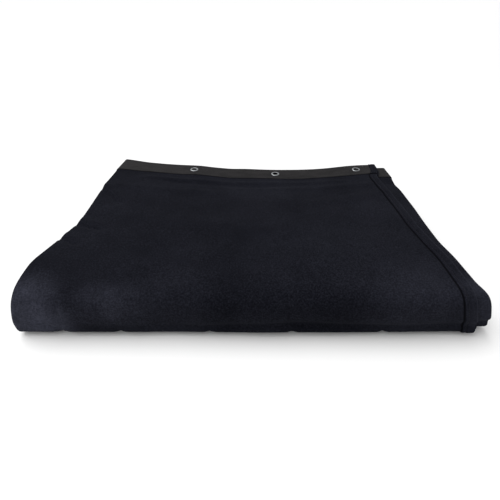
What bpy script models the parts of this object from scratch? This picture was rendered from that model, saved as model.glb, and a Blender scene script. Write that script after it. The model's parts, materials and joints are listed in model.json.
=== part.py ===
"""A stage drape of brushed cotton, folded flat: a 2.5 m wide cloth with a webbing header tape and
eyelets along its top edge, folded in four across its width and in eight along its length.

Metres, +Z up. The drape lies on z = 0 with its header along +Y and its rounded front fold along -Y.
The width plies of every leaf run P1, Q1, Q2, P2 from the face of the cloth inwards: P1 and P2 meet
in the outer fold on the left, P2 and Q2 in the fold on the right, Q2 and Q1 in the inner left fold.
"""

import math

import bmesh
import bpy
from mathutils import Vector

# Overall size of the folded drape
DEPTH = 0.470
CREST_HEIGHT = 0.0824
FRONT_SQUARENESS = 0.65
HEADER_HEIGHT = 0.0608
LEAVES = 8

# Plan outline: x of the left fold, of the side hem's edge and of the right fold, by y
LEFT_FOLD = ((-0.235, -0.357), (-0.135, -0.349), (0.0, -0.330), (0.235, -0.320))
HEM_EDGE = ((-0.235, 0.335), (0.235, 0.312))
RIGHT_FOLD = ((-0.235, 0.3577), (-0.130, 0.342), (0.235, 0.341))

# Cloth, hem and tape
HEM_WIDTH = 0.018
HEM_B_SHIFT = 0.005
INNER_FOLD_INSET = 0.0375
CLOTH = 0.0011
TAPE = 0.0009
TAPE_WIDTH = 0.050
GAP = 0.0003
LEAF_GAP = 0.03
SIDE_ROUND = 0.0043
RIGHT_ROUND = 0.0022

# Leaf ends and the hinge line across the top leaf
BACK_Y = DEPTH / 2
HEADER_Y = BACK_Y - TAPE_WIDTH
MID_LEAF_Y = 0.030
BACK_FOLD_Y = BACK_Y - 0.016
BOTTOM_HEM_Y = BACK_Y - 0.030
BOTTOM_HEM_DEPTH = 0.027
FAN_LENGTH = 0.065
LEAF_ROWS = (-0.155, -0.110, -0.060, -0.015, 0.030, 0.075)
LEAF_ROWS += (HEADER_Y - FAN_LENGTH, HEADER_Y - 0.043, HEADER_Y - 0.022, HEADER_Y)

# Eyelets, every 200 mm along the tape, 50 mm from either side edge
EYELET_PITCH = 0.200
EYELET_EDGE = 0.050
EYELET_FROM_BACK = 0.024
HOLE_RADIUS = 0.0050
BARREL_RADIUS = 0.0056
FLANGE_RADIUS = 0.0100
WASHER_RADIUS = 0.0095
SHEET_METAL = 0.0005
RING_STEPS = 16

# Levels in the header, measured down from the tape's top face to the middle of each cloth ply
LEVEL_P1 = TAPE + GAP + CLOTH / 2
LEVEL_Q1 = LEVEL_P1 + CLOTH + 3 * GAP + 2 * SHEET_METAL
LEVEL_Q2 = LEVEL_Q1 + CLOTH + 4 * GAP + 2 * TAPE + SHEET_METAL
LEVEL_P2 = LEVEL_Q2 + CLOTH + 2 * GAP + SHEET_METAL
HEADER_STACK = LEVEL_P2 + CLOTH / 2 + TAPE + 3 * GAP + SHEET_METAL
TAPE_SHIFT = (CLOTH + TAPE) / 2 + GAP

FRONT_RADIUS = CREST_HEIGHT / 2
CREST_Y = FRONT_RADIUS - DEPTH / 2
CREST_LEAF = CREST_HEIGHT / LEAVES

CLOTH_COLOUR = (0.0130, 0.0123, 0.0178, 1.0)
HEM_COLOUR = (0.0110, 0.0105, 0.0150, 1.0)
TAPE_COLOUR = (0.0320, 0.0296, 0.0284, 1.0)
METAL_COLOUR = (0.42, 0.43, 0.44, 1.0)


# --- helpers -------------------------------------------------------------------------------------


def clear_scene():
    for obj in list(bpy.data.objects):
        bpy.data.objects.remove(obj, do_unlink=True)


def material(name, colour, roughness, metallic):
    made = bpy.data.materials.new(name)
    made.use_nodes = True
    shader = made.node_tree.nodes["Principled BSDF"]
    shader.inputs["Base Color"].default_value = colour
    shader.inputs["Roughness"].default_value = roughness
    shader.inputs["Metallic"].default_value = metallic
    return made


def smooth(start, end, value):
    share = min(1.0, max(0.0, (value - start) / (end - start)))
    return share * share * (3 - 2 * share)


def along(outline, y):
    """x on a plan outline given as (y, x) points from front to back."""
    for (y0, x0), (y1, x1) in zip(outline, outline[1:]):
        if y <= y1:
            return x0 + (x1 - x0) * max(0.0, y - y0) / (y1 - y0)
    return outline[-1][1]


def top_height(y):
    return HEADER_HEIGHT + (CREST_HEIGHT - HEADER_HEIGHT) * smooth(HEADER_Y, CREST_Y, y)


def leaf_level(count, y):
    """Height of the top of the leaf that is count-th from the bottom."""
    top = top_height(y)
    if count == LEAVES:
        return top
    fanned = smooth(HEADER_Y - FAN_LENGTH, HEADER_Y, y)
    top_leaf = top / LEAVES * (1 - fanned) + HEADER_STACK * fanned
    return (top - top_leaf) * count / (LEAVES - 1)


def spaced(start, end, count):
    return [start + (end - start) * i / (count - 1) for i in range(count)]


def leaf_rows(start, end):
    """The y of every station along a leaf: its two ends and the rows that all leaves share."""
    return [start] + [y for y in LEAF_ROWS if start + GAP < y < end - GAP] + [end]


def mesh_object(name, mesh, look, parent):
    mesh.materials.append(look)
    obj = bpy.data.objects.new(name, mesh)
    bpy.context.scene.collection.objects.link(obj)
    obj.parent = parent
    obj.location = -parent.location
    return obj


def solid_from_rings(name, rings, look, parent):
    """Closed solid through rings of points that match one to one, capped at both ends."""
    shape = bmesh.new()
    loops = [[shape.verts.new(point) for point in ring] for ring in rings]
    count = len(rings[0])
    for near, far in zip(loops, loops[1:]):
        for i in range(count):
            j = (i + 1) % count
            shape.faces.new((near[i], near[j], far[j], far[i]))
    shape.faces.new(loops[0])
    shape.faces.new(loops[-1])
    bmesh.ops.recalc_face_normals(shape, faces=shape.faces)
    mesh = bpy.data.meshes.new(name)
    shape.to_mesh(mesh)
    shape.free()
    return mesh_object(name, mesh, look, parent)


# --- sections across the width: (edge, offset from it, share of the leaf from its P1 side) -------


def place(section, station):
    """Ring of points for a section at one station, which maps a share of the leaf to (y, z)."""
    edges = {"left": LEFT_FOLD, "hem": HEM_EDGE, "right": RIGHT_FOLD}
    ring = []
    for edge, offset, share in section:
        y, z = station(share)
        ring.append((along(edges[edge], y) + offset, y, z))
    return ring


def fold_points(edge, centre_x, centre_share, radius_x, radius_share, start_deg, end_deg, count):
    """Elliptical bend in a section; angles turn from +x towards the P1 side."""
    points = []
    for angle in spaced(math.radians(start_deg), math.radians(end_deg), count):
        x = centre_x + radius_x * math.cos(angle)
        points.append((edge, x, centre_share - radius_share * math.sin(angle)))
    return points


def ply_section():
    """The four width plies as one ribbon, with its edges thinned where the side hems lie."""
    hem = -HEM_WIDTH - GAP
    inner = INNER_FOLD_INSET
    section = [("hem", 0, 0.155), ("hem", hem, 0.155), ("hem", hem, 0)]
    section += fold_points("left", SIDE_ROUND, 0.485, SIDE_ROUND, 0.485, 90, 270, 7)
    section += fold_points("right", -RIGHT_ROUND, 0.75, RIGHT_ROUND, 0.22, -90, 90, 5)
    section += fold_points("left", inner, 0.4925, 0.0003, 0.0375, -90, 90, 2)
    section += [("hem", HEM_B_SHIFT + hem, 0.455), ("hem", HEM_B_SHIFT + hem, 0.345)]
    section += [("hem", HEM_B_SHIFT, 0.345), ("hem", HEM_B_SHIFT, 0.255)]
    section += fold_points("left", inner, 0.4925, 0.0021, 0.2375, 90, 270, 5)
    section += fold_points("right", -RIGHT_ROUND, 0.75, 0.0002, 0.02, -90, 90, 2)[::-1]
    section += fold_points("left", SIDE_ROUND, 0.495, 0.0023, 0.28, 270, 90, 5)
    section += [("hem", 0, 0.215)]
    return section


def slab_section():
    """The four width plies pressed together, stepped where the hemmed edges end."""
    low, high = LEAF_GAP, 1 - LEAF_GAP
    hem = -HEM_WIDTH - GAP
    section = fold_points("left", SIDE_ROUND, 0.5, SIDE_ROUND, 0.5 - LEAF_GAP, 270, 90, 5)
    section += [("hem", hem, low), ("hem", hem, 0.155), ("hem", 0, 0.155), ("hem", 0, 0.5)]
    section += [("right", -RIGHT_ROUND, 0.5), ("right", 0, 0.62), ("right", 0, 0.88)]
    section += [("right", -RIGHT_ROUND, high)]
    return section


def hem_section(shift, low, high):
    """The turned edge of one side of the drape."""
    inside = shift - HEM_WIDTH
    return [("hem", inside, low), ("hem", shift, low), ("hem", shift, high), ("hem", inside, high)]


# --- stations along the length --------------------------------------------------------------------


def upper_station(pair, y, face_out):
    def at(share):
        depth = share if face_out else 1 - share
        outer = leaf_level(LEAVES + 1 - pair, y)
        return y, outer * (1 - depth) + leaf_level(LEAVES - pair, y) * depth

    return at


def lower_station(pair, y, face_out):
    def at(share):
        depth = share if face_out else 1 - share
        return y, leaf_level(pair - 1, y) * (1 - depth) + leaf_level(pair, y) * depth

    return at


def bend_station(centre_y, centre_z, outer_radius, thickness, angle, side, face_out):
    def at(share):
        depth = share if face_out else 1 - share
        radius = outer_radius - thickness * depth
        return centre_y + side * radius * math.cos(angle), centre_z + radius * math.sin(angle)

    return at


def front_station(outer_radius, angle, face_out):
    """A station of a heavy front fold, which settles squarer than a half circle."""

    def at(share):
        depth = share if face_out else 1 - share
        radius = outer_radius - CREST_LEAF * depth
        out = radius * abs(math.cos(angle)) ** FRONT_SQUARENESS
        up = radius * math.copysign(abs(math.sin(angle)) ** FRONT_SQUARENESS, math.sin(angle))
        return CREST_Y - out, FRONT_RADIUS + up

    return at


def front_bend(pair, face_out, count):
    radius = (LEAVES / 2 + 1 - pair) * CREST_LEAF
    return [front_station(radius, angle, face_out) for angle in spaced(math.pi / 2, -math.pi / 2, count)]


def front_fold_stations(pair, face_out, upper_end, lower_end):
    """Stations of a leaf pair, from the back of its upper leaf round the front to the lower one."""
    stations = []
    if upper_end is not None:
        rows = leaf_rows(CREST_Y, upper_end)[:0:-1]
        stations += [upper_station(pair, y, face_out) for y in rows]
    stations += front_bend(pair, face_out, 13 if pair == 1 else 9)
    rows = leaf_rows(CREST_Y, lower_end)[1:]
    stations += [lower_station(pair, y, face_out) for y in rows]
    return stations


def back_bend_stations(centre_leaf, outer_leaves, face_out):
    """Stations of a fold at the back, its centre on top of the leaf numbered centre_leaf."""
    leaf = leaf_level(1, BACK_FOLD_Y)
    centre_z = leaf_level(centre_leaf, BACK_FOLD_Y)
    return [
        bend_station(BACK_FOLD_Y + GAP, centre_z, outer_leaves * leaf, leaf, angle, 1, face_out)
        for angle in spaced(-math.pi / 2, math.pi / 2, 9)
    ]


# --- cloth ----------------------------------------------------------------------------------------


def add_swept(name, section, stations, look, parent):
    rings = [place(section, station) for station in stations]
    return solid_from_rings(name, rings, look, parent)


def add_stack(cloth, hem, body):
    """The seven leaves under the top one, in nested front folds joined by folds at the back."""
    ends = {1: (None, BACK_FOLD_Y), 2: (BOTTOM_HEM_Y, BACK_FOLD_Y)}
    for pair in range(1, LEAVES // 2 + 1):
        face_out = pair in (1, 3)
        upper_end, lower_end = ends.get(pair, (BACK_FOLD_Y, BACK_FOLD_Y))
        stations = front_fold_stations(pair, face_out, upper_end, lower_end)
        section = ply_section() if pair == 1 else slab_section()
        add_swept(f"cloth_front_fold_{pair}", section, stations, cloth, body)
        low = 0 if pair == 1 else LEAF_GAP
        add_swept(f"side_hem_a_fold_{pair}", hem_section(0, low, 0.12), stations, hem, body)
        if pair == 1:
            inner_hem = hem_section(HEM_B_SHIFT, 0.38, 0.455)
            add_swept("side_hem_b_fold_1", inner_hem, stations, hem, body)
    add_swept("cloth_back_fold_upper", slab_section(), back_bend_stations(5, 1, True), cloth, body)
    add_swept("cloth_back_fold_inner", slab_section(), back_bend_stations(2, 1, False), cloth, body)
    add_swept("cloth_back_fold_outer", slab_section(), back_bend_stations(2, 2, True), cloth, body)
    rows = leaf_rows(BOTTOM_HEM_Y + GAP, BOTTOM_HEM_Y + BOTTOM_HEM_DEPTH)
    stations = [upper_station(2, y, False) for y in rows]
    add_swept("bottom_hem", slab_section(), stations, hem, body)


def add_top_leaf(part, start_y, end_y, cloth, hem, body):
    """One half of the top leaf, with the turned edges of both sides of the drape."""
    stations = [upper_station(1, y, True) for y in leaf_rows(start_y, end_y)]
    add_swept(f"cloth_leaf_{part}", ply_section(), stations, cloth, body)
    add_swept(f"side_hem_a_{part}", hem_section(0, 0, 0.12), stations, hem, body)
    inner_hem = hem_section(HEM_B_SHIFT, 0.38, 0.455)
    add_swept(f"side_hem_b_{part}", inner_hem, stations, hem, body)


# --- header ---------------------------------------------------------------------------------------


def header_edges():
    """x of the left fold, side hem edge and right fold, taken level across the header."""
    y = (HEADER_Y + BACK_Y) / 2
    return along(LEFT_FOLD, y), along(HEM_EDGE, y), along(RIGHT_FOLD, y)


def header_bends():
    """Centre x, upper and lower level of the header's three bends: outer left, right, inner left."""
    left, _, right = header_edges()
    outer_radius = (LEVEL_P2 - LEVEL_P1) / 2
    right_radius = (LEVEL_P2 - LEVEL_Q2) / 2
    return (
        (left + outer_radius + TAPE_SHIFT, LEVEL_P1, LEVEL_P2),
        (right - right_radius - TAPE_SHIFT, LEVEL_Q2, LEVEL_P2),
        (left + outer_radius + INNER_FOLD_INSET, LEVEL_Q1, LEVEL_Q2),
    )


def half_turn(centre_x, upper, lower, radius, start_deg, end_deg, count):
    centre_z = HEADER_HEIGHT - (upper + lower) / 2
    points = []
    for angle in spaced(math.radians(start_deg), math.radians(end_deg), count):
        points.append((centre_x + radius * math.cos(angle), centre_z + radius * math.sin(angle)))
    return points


def header_side(shift, end_a, end_b):
    """One face of a header ribbon in x and z, shift outwards from the middle of the cloth."""
    outer, right, inner = header_bends()
    run = [(end_a, HEADER_HEIGHT - LEVEL_P1 + shift)]
    run += half_turn(*outer, (LEVEL_P2 - LEVEL_P1) / 2 + shift, 90, 270, 9)
    run += half_turn(*right, (LEVEL_P2 - LEVEL_Q2) / 2 + shift, -90, 90, 7)
    run += half_turn(*inner, (LEVEL_Q2 - LEVEL_Q1) / 2 - shift, 270, 90, 7)
    run += [(end_b, HEADER_HEIGHT - LEVEL_Q1 - shift)]
    return run


def add_header_ribbon(name, thickness, shift, cut_back, look, body):
    """A strip of the header that follows all four plies, its face shift out from the cloth's."""
    _, hem, _ = header_edges()
    end_a = hem - cut_back
    end_b = hem + HEM_B_SHIFT - cut_back
    face = header_side(shift + thickness / 2, end_a, end_b)
    back = header_side(shift - thickness / 2, end_a, end_b)
    shape = bmesh.new()
    outline = [shape.verts.new((x, HEADER_Y + GAP, z)) for x, z in face + back[::-1]]
    front = shape.faces.new(outline)
    grown = bmesh.ops.extrude_face_region(shape, geom=[front])
    moved = [item for item in grown["geom"] if isinstance(item, bmesh.types.BMVert)]
    bmesh.ops.translate(shape, verts=moved, vec=(0, TAPE_WIDTH - GAP, 0))
    bmesh.ops.recalc_face_normals(shape, faces=shape.faces)
    mesh = bpy.data.meshes.new(name)
    shape.to_mesh(mesh)
    shape.free()
    return mesh_object(name, mesh, look, body)


def add_header_hem(name, shift, level, face, look, body):
    """The turned side edge across the header, level with the tape that it meets."""
    _, hem, _ = header_edges()
    middle = HEADER_HEIGHT - level + face * TAPE_SHIFT
    low, high = middle - TAPE / 2, middle + TAPE / 2
    x0, x1 = hem + shift - HEM_WIDTH, hem + shift
    rings = [
        [(x0, y, low), (x1, y, low), (x1, y, high), (x0, y, high)]
        for y in (HEADER_Y + GAP, BACK_Y)
    ]
    solid_from_rings(name, rings, look, body)


def eyelet_places():
    """(name, x, level, face) of every eyelet, following the tape from the side hem of ply P1."""
    _, hem, _ = header_edges()
    outer, right, inner = header_bends()
    run_p1 = hem - outer[0]
    run_p2 = right[0] - outer[0]
    run_q2 = right[0] - inner[0]
    places = []
    total = run_p1 + run_p2 + run_q2 + hem + HEM_B_SHIFT - inner[0]
    count = round((total - 2 * EYELET_EDGE) / EYELET_PITCH) + 1
    for i in range(count):
        run = EYELET_EDGE + i * EYELET_PITCH
        name = f"{i + 1:02d}"
        if run < run_p1:
            places.append((name, hem - run, LEVEL_P1, 1))
        elif run < run_p1 + run_p2:
            places.append((name, outer[0] + run - run_p1, LEVEL_P2, -1))
        elif run < run_p1 + run_p2 + run_q2:
            places.append((name, right[0] - (run - run_p1 - run_p2), LEVEL_Q2, 1))
        else:
            places.append((name, inner[0] + run - run_p1 - run_p2 - run_q2, LEVEL_Q1, -1))
    return places


def turned_mesh(name, profile, look):
    """Mesh of a closed profile in x and z, which a Screw modifier turns about Z."""
    mesh = bpy.data.meshes.new(name)
    points = [(x, 0, z) for x, z in profile]
    edges = [(i, (i + 1) % len(points)) for i in range(len(points))]
    mesh.from_pydata(points, edges, [])
    mesh.materials.append(look)
    return mesh


def add_turned(name, mesh, place_x, level, face, body):
    obj = bpy.data.objects.new(name, mesh)
    bpy.context.scene.collection.objects.link(obj)
    obj.parent = body
    spot = Vector((place_x, BACK_Y - EYELET_FROM_BACK, HEADER_HEIGHT - level))
    obj.location = spot - body.location
    obj.rotation_euler = (0 if face > 0 else math.pi, 0, 0)
    turn = obj.modifiers.new("turn", "SCREW")
    turn.axis = "Z"
    turn.angle = 2 * math.pi
    turn.steps = RING_STEPS
    turn.render_steps = RING_STEPS
    turn.use_merge_vertices = True
    turn.merge_threshold = 0.00001
    return obj


def eyelet_profile():
    """Barrel and domed flange, from the inner lip round the outside, top to bottom."""
    flange_low = CLOTH / 2 + 2 * GAP + TAPE
    top = flange_low + SHEET_METAL
    foot = -CLOTH / 2 - GAP - SHEET_METAL
    return [
        (HOLE_RADIUS + 0.0004, top),
        (FLANGE_RADIUS - 0.0008, top),
        (FLANGE_RADIUS, top - 0.0003),
        (FLANGE_RADIUS, flange_low),
        (BARREL_RADIUS, flange_low),
        (BARREL_RADIUS, foot),
        (HOLE_RADIUS, foot),
        (HOLE_RADIUS, top - 0.0004),
    ]


def washer_profile():
    top = -CLOTH / 2 - GAP
    inner = BARREL_RADIUS + GAP
    low = top - SHEET_METAL
    return [(inner, top), (WASHER_RADIUS, top), (WASHER_RADIUS, low), (inner, low)]


def eyelet_cutter(name, places, body):
    """Cylinders through each ply and its tape at every eyelet, as one cutter."""
    shape = bmesh.new()
    for _, x, level, _ in places:
        made = bmesh.ops.create_cone(
            shape,
            cap_ends=True,
            segments=RING_STEPS,
            radius1=BARREL_RADIUS + GAP,
            radius2=BARREL_RADIUS + GAP,
            depth=2 * (TAPE_SHIFT + TAPE),
        )
        spot = (x, BACK_Y - EYELET_FROM_BACK, HEADER_HEIGHT - level)
        bmesh.ops.translate(shape, verts=made["verts"], vec=spot)
    mesh = bpy.data.meshes.new(name)
    shape.to_mesh(mesh)
    shape.free()
    cutter = bpy.data.objects.new(name, mesh)
    bpy.context.scene.collection.objects.link(cutter)
    cutter.parent = body
    cutter.location = -body.location
    cutter.hide_render = True
    cutter.display_type = "WIRE"
    return cutter


def cut(obj, cutter):
    step = obj.modifiers.new("eyelet_holes", "BOOLEAN")
    step.operation = "DIFFERENCE"
    step.solver = "EXACT"
    step.object = cutter


def add_header(cloth, hem, tape, metal, body):
    places = eyelet_places()
    edge = add_header_ribbon("top_edge_cloth", CLOTH, 0, 0, cloth, body)
    webbing = add_header_ribbon("header_tape", TAPE, TAPE_SHIFT, HEM_WIDTH + GAP, tape, body)
    add_header_hem("side_hem_a_header", 0, LEVEL_P1, 1, hem, body)
    add_header_hem("side_hem_b_header", HEM_B_SHIFT, LEVEL_Q1, -1, hem, body)
    cutter = eyelet_cutter("eyelet_hole_cutter", places, body)
    cut(edge, cutter)
    cut(webbing, cutter)
    eyelet = turned_mesh("eyelet", eyelet_profile(), metal)
    washer = turned_mesh("washer", washer_profile(), metal)
    for name, x, level, face in places:
        add_turned(f"eyelet_{name}", eyelet, x, level, face, body)
        add_turned(f"eyelet_washer_{name}", washer, x, level, face, body)


# --- assembly -------------------------------------------------------------------------------------


def add_body(name, y, z):
    """Empty that carries one rigid group, on the axis that the group turns about."""
    empty = bpy.data.objects.new(name, None)
    bpy.context.scene.collection.objects.link(empty)
    empty.location = (0, y, z)
    return empty


def main():
    clear_scene()
    cloth = material("brushed_cotton", CLOTH_COLOUR, 0.95, 0.0)
    hem = material("hemmed_cotton", HEM_COLOUR, 0.95, 0.0)
    tape = material("webbing", TAPE_COLOUR, 0.80, 0.0)
    metal = material("nickelled_steel", METAL_COLOUR, 0.35, 1.0)
    stack = add_body("stack", 0, 0)
    front = add_body("leaf_front", CREST_Y, top_height(CREST_Y))
    rear = add_body("leaf_rear", MID_LEAF_Y, top_height(MID_LEAF_Y))
    add_stack(cloth, hem, stack)
    add_top_leaf("front", CREST_Y + GAP, MID_LEAF_Y - GAP / 2, cloth, hem, front)
    add_top_leaf("rear", MID_LEAF_Y + GAP / 2, HEADER_Y, cloth, hem, rear)
    add_header(cloth, hem, tape, metal, rear)


main()
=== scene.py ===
"""Looks of the folded stage drape: one brushed-cotton cloth laid in its real folds, with hems,
webbing header tape, eyelets and stitching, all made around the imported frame."""

import json
import math

import bmesh
import bpy
import numpy as np
from mathutils import Matrix, Vector


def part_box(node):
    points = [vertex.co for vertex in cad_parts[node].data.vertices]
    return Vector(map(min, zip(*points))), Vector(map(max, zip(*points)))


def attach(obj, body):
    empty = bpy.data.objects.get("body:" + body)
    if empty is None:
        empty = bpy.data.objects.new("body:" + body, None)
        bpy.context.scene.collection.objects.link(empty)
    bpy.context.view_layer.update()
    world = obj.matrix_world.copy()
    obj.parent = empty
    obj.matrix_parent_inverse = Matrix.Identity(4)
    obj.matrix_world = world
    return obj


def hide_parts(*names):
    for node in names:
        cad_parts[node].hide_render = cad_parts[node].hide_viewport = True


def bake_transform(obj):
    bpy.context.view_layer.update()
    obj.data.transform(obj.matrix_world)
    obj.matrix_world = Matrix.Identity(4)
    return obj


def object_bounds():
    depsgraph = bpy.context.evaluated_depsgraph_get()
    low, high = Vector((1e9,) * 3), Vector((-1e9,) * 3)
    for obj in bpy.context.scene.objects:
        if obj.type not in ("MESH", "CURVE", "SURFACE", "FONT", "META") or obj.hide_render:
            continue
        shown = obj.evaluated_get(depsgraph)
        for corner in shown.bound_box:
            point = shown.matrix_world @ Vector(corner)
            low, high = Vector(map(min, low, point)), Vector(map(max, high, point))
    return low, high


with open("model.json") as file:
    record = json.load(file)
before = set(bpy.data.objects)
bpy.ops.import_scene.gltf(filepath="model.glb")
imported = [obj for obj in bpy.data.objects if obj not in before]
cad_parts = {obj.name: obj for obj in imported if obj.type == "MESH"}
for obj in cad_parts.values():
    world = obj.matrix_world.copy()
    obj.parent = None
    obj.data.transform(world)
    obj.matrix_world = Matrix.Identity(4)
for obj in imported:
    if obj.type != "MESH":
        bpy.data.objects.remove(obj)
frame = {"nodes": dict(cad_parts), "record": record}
CAD_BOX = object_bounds()

# --- sizes, in metres ---

LOW, HIGH = CAD_BOX
TAPE_LOW, TAPE_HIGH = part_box("header_tape")
HINGES = {joint["name"]: joint["pos_m"] for joint in frame["record"]["behaviour"]["joints"]}

BACK_Y = HIGH.y
HEADER_Y = TAPE_LOW.y
HEADER_HEIGHT = TAPE_HIGH.z
CREST_HEIGHT = HIGH.z
CREST_Y = HINGES["leaf_front_lift"][1]
MID_LEAF_Y = HINGES["leaf_rear_lift"][1]
FRONT_RADIUS = CREST_HEIGHT / 2
LEAVES = 8
CREST_LEAF = CREST_HEIGHT / LEAVES
WASHER_ROOM = 0.0011
HEADER_STACK = HEADER_HEIGHT - TAPE_LOW.z + WASHER_ROOM
FAN_LENGTH = 0.065
BACK_FOLD_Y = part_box("cloth_back_fold_outer")[0].y
BOTTOM_HEM_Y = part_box("bottom_hem")[0].y
FRONT_BULGE = 1.21
FRONT_SQUARENESS = 0.54

CLOTH = 0.0013
TAPE = 0.0009
HEM_WIDTH = 0.0145
HEM_RISE = 0.0013
HEM_B_SHIFT = 0.005
HEM_EDGE_RUN = 0.0034
HEM_ROUND = 0.0009
HEM_OVERHANG = 0.0006
HEM_PUFF, STITCH_DIP, STITCH_DIP_WIDTH = 0.00035, 0.00045, 0.0012
TURNED_UNDER = 0.0030
HEM_UNDER = 0.0004
HEADER_HEM_UNDER = 0.0005
INNER_HEM_UNDER = 0.0003
BOTTOM_HEM_DEPTH = 0.027
BOTTOM_HEM_THICK = 0.0012
CLOTH_IN_BOTTOM_HEM = 0.026
SKIN = 0.0001
TAPE_INSET = 0.004
TAPE_SEAM = 0.0025
INNER_FOLD_INSET = 0.0375
STITCH_FROM_EDGE = 0.0104
STITCH_PITCH = 0.0036
STITCH_LENGTH = 0.0028
THREAD_RADIUS = 0.00036
THREAD_SINK = 0.0003
SEAM_VALLEY, SEAM_VALLEY_WIDTH = -0.0010, 0.0016
# Offset and width of the painted shade line drawn into the cloth's colour in the crease beside each side
# hem
SEAM_SHADE_OFFSET, SEAM_SHADE_WIDTH = 0.0008, 0.0026
SHARP_ANGLE = math.radians(50)

EYELET_PITCH = 0.200
EYELET_EDGE = 0.050
EYELETS = 13
EYELET_Y = (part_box("eyelet_01")[0].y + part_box("eyelet_01")[1].y) / 2
EYELET_HOLE = 0.0050
HOLE_IN_CLOTH = 0.0058
PUNCH_FROM, PUNCH_TO = -0.00090, 0.00175
FLARE_INSIDE = 0.0063
WASHER_RIM = 0.0095
SHEET_METAL = 0.0005
RING_STEPS, WASHER_STEPS, HOLE_STEPS = 28, 24, 24

# Plan outline of the pack, as (y, x) points from front to back
LEFT_FOLD = ((-0.240, -0.3400), (-0.200, -0.3475), (-0.155, -0.3505), (-0.105, -0.3390))
LEFT_FOLD += ((-0.030, -0.3245), (0.100, -0.3240), (0.180, -0.3230), (0.240, -0.3160))
HEM_EDGE = ((-0.240, 0.3220), (-0.200, 0.3212), (-0.150, 0.3200), (-0.100, 0.3130), (-0.050, 0.3095))
HEM_EDGE += ((0.000, 0.3095), (0.050, 0.3085), (0.100, 0.3045), (0.150, 0.3000), (0.180, 0.2985))
HEM_EDGE += ((0.198, 0.3110), (0.240, 0.3130))
RIGHT_FOLD = ((-0.240, 0.3480), (-0.200, 0.3470), (-0.130, 0.3450), (-0.080, 0.3390))
RIGHT_FOLD += ((-0.020, 0.3410), (0.050, 0.3450), (0.130, 0.3445), (0.240, 0.3410))
OUTLINE_ROUNDING = (-0.012, -0.006, 0.0, 0.006, 0.012)


# --- the folded shape ---


def smooth(start, end, value):
    share = np.clip((value - start) / (end - start), 0.0, 1.0)
    return share * share * (3 - 2 * share)


def along(outline, y):
    """x on a plan outline, rounded off between its points."""
    ys = np.array([point[0] for point in outline])
    xs = np.array([point[1] for point in outline])
    total = 0.0
    for shift in OUTLINE_ROUNDING:
        total = total + np.interp(y + shift, ys, xs)
    return total / len(OUTLINE_ROUNDING)


def top_height(y):
    return HEADER_HEIGHT + (CREST_HEIGHT - HEADER_HEIGHT) * smooth(HEADER_Y, CREST_Y, y)


def leaf_level(count, y):
    """Height of the top of the leaf that is count-th from the bottom."""
    top = top_height(y)
    fanned = smooth(HEADER_Y - FAN_LENGTH, HEADER_Y, y)
    top_leaf = top / LEAVES * (1 - fanned) + HEADER_STACK * fanned
    return np.where(count == LEAVES, top, (top - top_leaf) * count / (LEAVES - 1))


class Station:
    """One line across the pack. at() maps a share of the leaf's thickness to y and z."""

    def __init__(self, length, thickness, face_out, place):
        self.length = length
        self.thickness = thickness
        self.face_out = face_out
        self.place = place

    def at(self, share):
        return self.place(share if self.face_out else 1 - share)


def leaf_station(length, y, outer_count, inner_count, face_out):
    outer = float(leaf_level(outer_count, y))
    inner = float(leaf_level(inner_count, y))
    place = lambda depth: (np.full_like(depth, y), outer + (inner - outer) * depth)
    return Station(length, abs(outer - inner), face_out, place)


def bend_station(length, centre, outer_radius, leaf, angle, face_out):
    def place(depth):
        radius = outer_radius - leaf * depth
        return centre[0] + radius * np.cos(angle), centre[1] + radius * np.sin(angle)

    return Station(length, leaf, face_out, place)


def upper_leaf(pair, start_y, end_y, count, face_out, length):
    return [
        leaf_station(length + abs(y - start_y), y, LEAVES + 1 - pair, LEAVES - pair, face_out)
        for y in np.linspace(start_y, end_y, count)
    ]


def lower_leaf(pair, start_y, end_y, count, face_out, length):
    return [
        leaf_station(length + abs(y - start_y), y, pair - 1, pair, face_out)
        for y in np.linspace(start_y, end_y, count)
    ]


def fold_outline(radius, count):
    """Points of a heavy fold, squarer than a half circle, evenly spaced from its top to its bottom."""
    angle = np.linspace(math.pi / 2, -math.pi / 2, 2001)
    out = FRONT_BULGE * radius * np.abs(np.cos(angle)) ** FRONT_SQUARENESS
    up = radius * np.sign(np.sin(angle)) * np.abs(np.sin(angle)) ** FRONT_SQUARENESS
    run = np.concatenate([[0.0], np.cumsum(np.hypot(np.diff(out), np.diff(up)))])
    even = np.linspace(0.0, run[-1], count)
    return even, np.interp(even, run, out), np.interp(even, run, up)


def front_bend(pair, count, face_out, downwards=True):
    radius = (LEAVES / 2 + 1 - pair) * CREST_LEAF
    run, out, up = fold_outline(radius, count)
    if not downwards:
        out, up = out[::-1], up[::-1]

    def station(i):
        def place(depth):
            size = 1 - CREST_LEAF * depth / radius
            return CREST_Y - out[i] * size, FRONT_RADIUS + up[i] * size

        return Station(run[i], CREST_LEAF, face_out, place)

    return [station(i) for i in range(count)]


def back_bend(centre_leaf, outer_leaves, count, face_out, upwards=True):
    leaf = float(leaf_level(1, BACK_FOLD_Y))
    centre = (BACK_FOLD_Y, float(leaf_level(centre_leaf, BACK_FOLD_Y)))
    radius = outer_leaves * leaf
    turn = -math.pi / 2 if upwards else math.pi / 2
    return [
        bend_station((radius - leaf / 2) * abs(angle - turn), centre, radius, leaf, angle, face_out)
        for angle in np.linspace(turn, -turn, count)
    ]


def joined(*runs):
    """Stations of several runs end to end, with the shared ones kept once and lengths added up."""
    whole = list(runs[0])
    for run in runs[1:]:
        offset = whole[-1].length - run[0].length
        for station in run[1:]:
            station.length += offset
            whole.append(station)
    return whole


# --- sections across the width ---


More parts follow.
